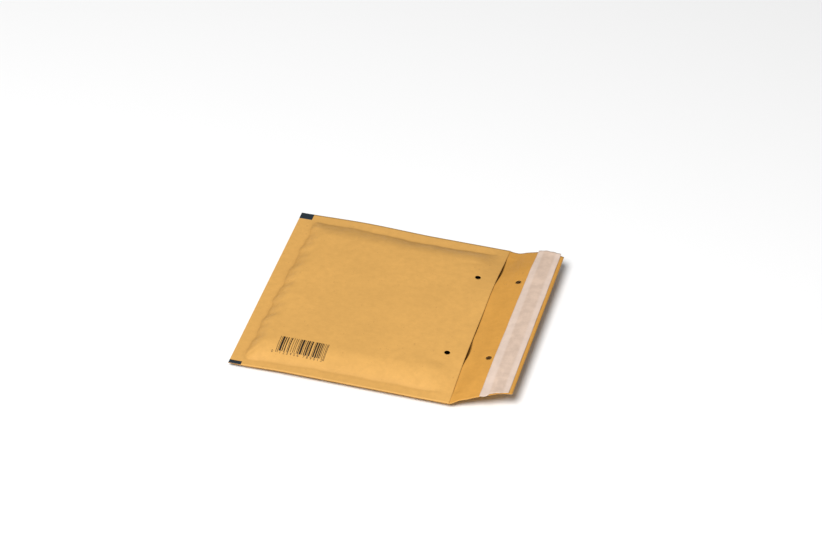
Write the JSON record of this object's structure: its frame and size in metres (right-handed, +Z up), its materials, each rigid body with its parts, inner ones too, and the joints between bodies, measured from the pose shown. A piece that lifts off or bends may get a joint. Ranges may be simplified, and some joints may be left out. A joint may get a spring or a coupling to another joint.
{
  "type": "padded envelope",
  "caption": "Flat kraft paper mailing envelope lined with bubble film, open at one end, with a raised self-seal flap under a tear-off liner.",
  "frame": {"origin": "on the table, below the middle of the envelope's outline seen from above, flap included", "axes": "+X from the bottom fold towards the flap, +Y across the width, +Z up out of the front panel"},
  "size_m": [0.221, 0.2, 0.0191],
  "materials": {
    "kraft_paper": "matte",
    "bubble_film": "gloss",
    "adhesive": "satin",
    "release_paper": "satin"
  },
  "bodies": {
    "root": {"outer_paper": "kraft_paper", "bubble_liner": "bubble_film", "adhesive_strip": "adhesive", "release_liner": "release_paper"}
  },
  "joints": []
}
